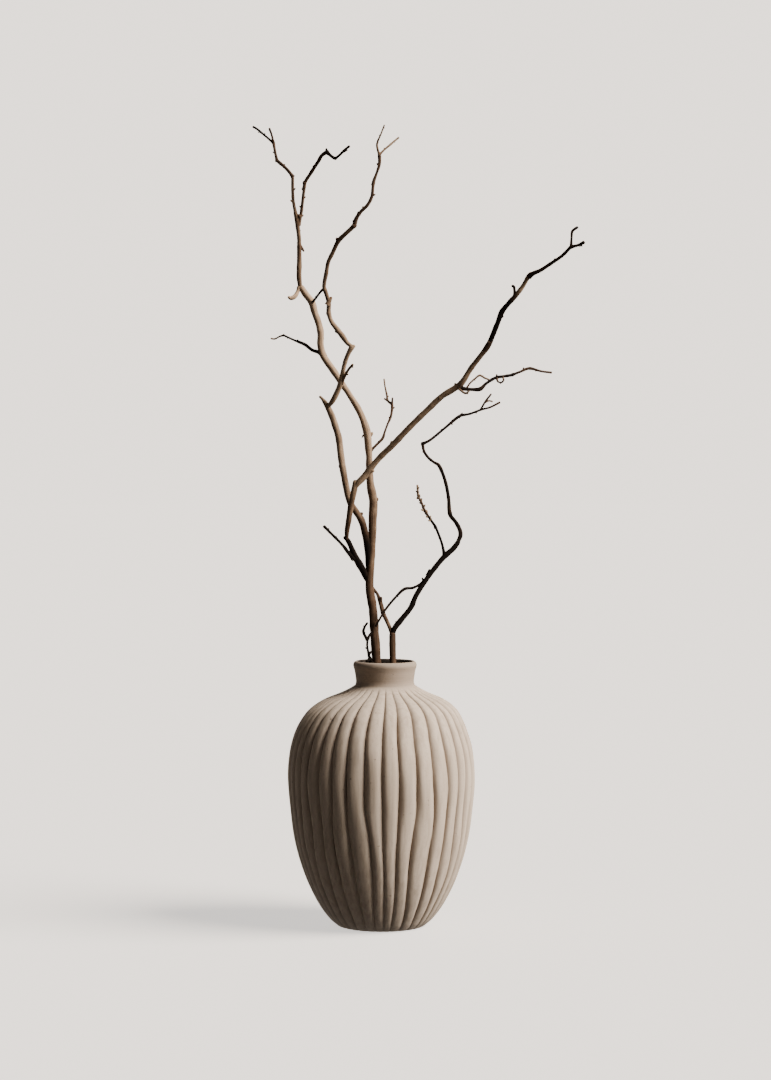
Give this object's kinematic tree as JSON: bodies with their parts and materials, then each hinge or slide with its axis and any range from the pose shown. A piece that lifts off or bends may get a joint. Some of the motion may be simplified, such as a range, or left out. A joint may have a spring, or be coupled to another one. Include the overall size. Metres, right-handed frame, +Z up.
{
  "type": "crooked twigs in a ribbed clay vase",
  "caption": "Crooked bare twigs standing in a round ribbed clay vase with a narrow neck, a dry arrangement for a shelf or table.",
  "frame": {"origin": "middle of the vase's flat foot, on the surface it stands on", "axes": "+Z up along the vase, +X to the right as seen from the front, -Y towards the front"},
  "size_m": [0.351, 0.2179, 0.8605],
  "materials": {
    "clay": "unglazed matte fired clay, warm grey-beige, with fine turning lines and small pits",
    "bark": "dry brown bark, matte, lighter on worn faces and darker at knots and thin tips"
  },
  "bodies": {
    "root": {"vase": "clay", "main_branch": "bark", "side_branch": "bark"}
  },
  "joints": []
}
